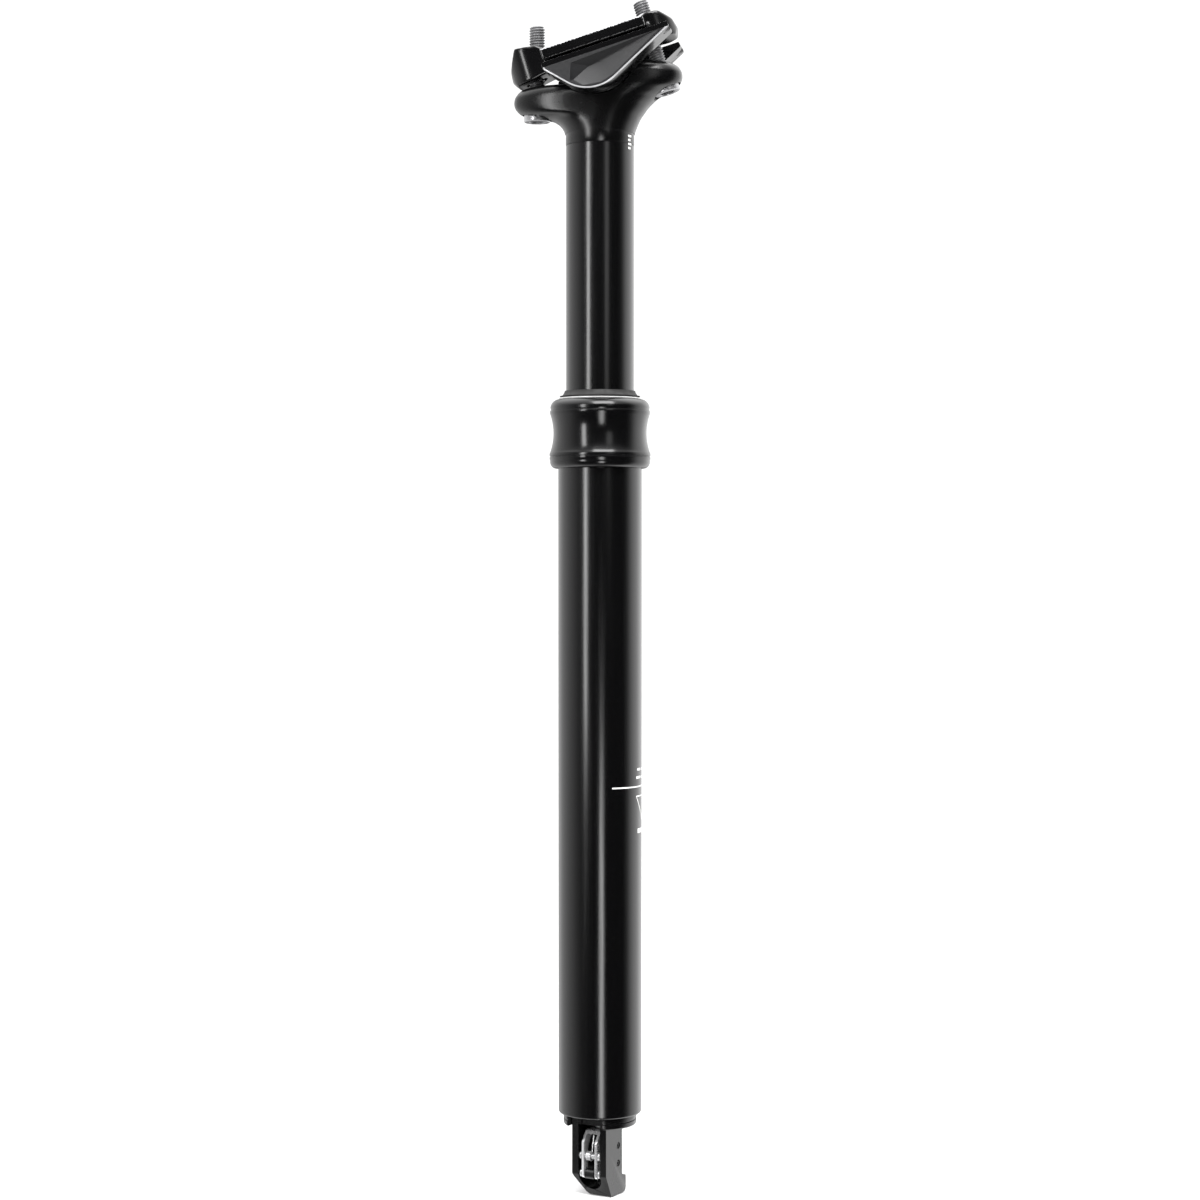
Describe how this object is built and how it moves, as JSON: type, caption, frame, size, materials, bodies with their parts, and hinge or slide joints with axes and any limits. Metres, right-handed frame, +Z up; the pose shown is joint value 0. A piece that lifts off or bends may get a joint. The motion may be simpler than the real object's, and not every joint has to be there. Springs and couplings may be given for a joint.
{
  "type": "dropper seatpost",
  "caption": "Height-adjustable bicycle seatpost: sliding tube in a collared lower tube, two-bolt rail clamp on a forged head, cable actuator cage at the foot.",
  "frame": {"origin": "on the post's axis at the collar's lower shoulder, where the top of the frame's seat tube is", "axes": "+Z up the post to the saddle, +X to the rear of the bicycle, +Y to its drive side"},
  "size_m": [0.0642, 0.054, 0.4515],
  "materials": {
    "black_anodised": "satin black anodised",
    "black_gloss": "polished black anodised",
    "steel": "plated",
    "silver": "bright",
    "rubber": "matte",
    "brass": "machined",
    "polymer": "plain bearing",
    "aluminium": "machined"
  },
  "bodies": {
    "outer": {"outer_tube": "black_anodised", "collar": "black_gloss", "collar_ring": "silver", "wiper": "rubber", "stanchion_seal": "rubber", "upper_bushing": "polymer", "foot_cap": "black_anodised", "foot_seal": "rubber", "bottom_out_bumper": "rubber", "piston_rod": "steel", "main_piston": "aluminium", "piston_seal": "rubber", "actuator_cage": "black_anodised", "cage_screw_upper": "black_anodised", "cage_screw_lower": "black_anodised", "lever_pivot": "silver", "return_spring": "silver"},
    "post": {"stanchion": "black_anodised", "slide_bushing": "polymer", "key_1": "brass", "key_2": "brass", "key_3": "brass", "cartridge_tube": "aluminium", "cartridge_gland": "aluminium", "gland_seal": "rubber", "top_out_bumper": "rubber", "head": "black_gloss", "valve_body": "brass", "valve_core": "brass", "valve_cap": "black_anodised"},
    "floating": {"floating_piston": "aluminium", "floating_seal": "rubber"},
    "push": {"push_rod": "steel"},
    "lever": {"release_lever": "steel"},
    "barrel": {"cable_barrel": "black_anodised", "barrel_pin": "silver"},
    "lower_clamp": {"cradle": "black_gloss"},
    "upper_clamp": {"clamp": "black_gloss"},
    "front_barrel_nut": {"front_nut": "steel"},
    "rear_barrel_nut": {"rear_nut": "steel"},
    "front_seat": {"front_washer": "steel"},
    "rear_seat": {"rear_washer": "steel"},
    "front_screw": {"front_bolt": "steel"},
    "rear_screw": {"rear_bolt": "steel"}
  },
  "joints": [
    {"name": "post_travel", "type": "slide", "parent": "outer", "child": "post", "axis": [0, 0, 1], "range_m": [-0.09, 0], "stiffness_N_per_m": 300, "springref_m": 0.35},
    {"name": "floating_travel", "type": "slide", "parent": "post", "child": "floating", "axis": [0, 0, 1], "range_m": [0, 0.024]},
    {"name": "saddle_tilt", "type": "hinge", "parent": "post", "child": "lower_clamp", "pos_m": [0, 0, 0.1545], "axis": [0, -1, 0], "range_deg": [-10, 2]},
    {"name": "clamp_lift", "type": "slide", "parent": "lower_clamp", "child": "upper_clamp", "axis": [-0.2924, 0, 0.9563], "range_m": [0, 0.003]},
    {"name": "front_nut_turn", "type": "hinge", "parent": "upper_clamp", "child": "front_barrel_nut", "pos_m": [-0.024, 0, 0.1534], "axis": [0, -1, 0], "range_deg": [-2, 10]},
    {"name": "rear_nut_turn", "type": "hinge", "parent": "upper_clamp", "child": "rear_barrel_nut", "pos_m": [0.0182, 0, 0.1656], "axis": [0, -1, 0], "range_deg": [-2, 10]},
    {"name": "front_bolt_swing", "type": "hinge", "parent": "post", "child": "front_seat", "pos_m": [-0.024, 0, 0.1354], "axis": [0, -1, 0], "range_deg": [0, 3]},
    {"name": "rear_bolt_swing", "type": "hinge", "parent": "post", "child": "rear_seat", "pos_m": [0.02446, 0, 0.14513], "axis": [0, -1, 0], "range_deg": [-3, 1]},
    {"name": "front_bolt_turn", "type": "hinge", "parent": "front_seat", "child": "front_screw", "pos_m": [-0.024, 0, 0.1354], "axis": [0, 0, 1], "continuous": true},
    {"name": "rear_bolt_turn", "type": "hinge", "parent": "rear_seat", "child": "rear_screw", "pos_m": [0.02446, 0, 0.14513], "axis": [-0.2924, 0, 0.9563], "continuous": true},
    {"name": "release_lever_swing", "type": "hinge", "parent": "outer", "child": "lever", "pos_m": [-0.00247, -0.00612, -0.2604], "axis": [0.9272, -0.3746, 0], "range_deg": [0, 8]},
    {"name": "push_rod_travel", "type": "slide", "parent": "outer", "child": "push", "axis": [0, 0, 1], "range_m": [0, 0.00096], "stiffness_N_per_m": 200, "springref_m": -0.004},
    {"name": "barrel_swivel", "type": "hinge", "parent": "lever", "child": "barrel", "pos_m": [-0.00247, -0.00612, -0.2671], "axis": [0.9272, -0.3746, 0], "range_deg": [-20, 20]}
  ],
  "couplings": [
    {"joint": "floating_travel", "follows": "post_travel", "ratio": -0.2603},
    {"joint": "front_nut_turn", "follows": "saddle_tilt", "ratio": -1},
    {"joint": "rear_nut_turn", "follows": "saddle_tilt", "ratio": -0.755},
    {"joint": "rear_bolt_swing", "follows": "saddle_tilt", "ratio": 0.245},
    {"joint": "front_bolt_swing", "follows": "clamp_lift", "rad_per_m": 14.4},
    {"joint": "release_lever_swing", "follows": "push_rod_travel", "rad_per_m": 145}
  ]
}
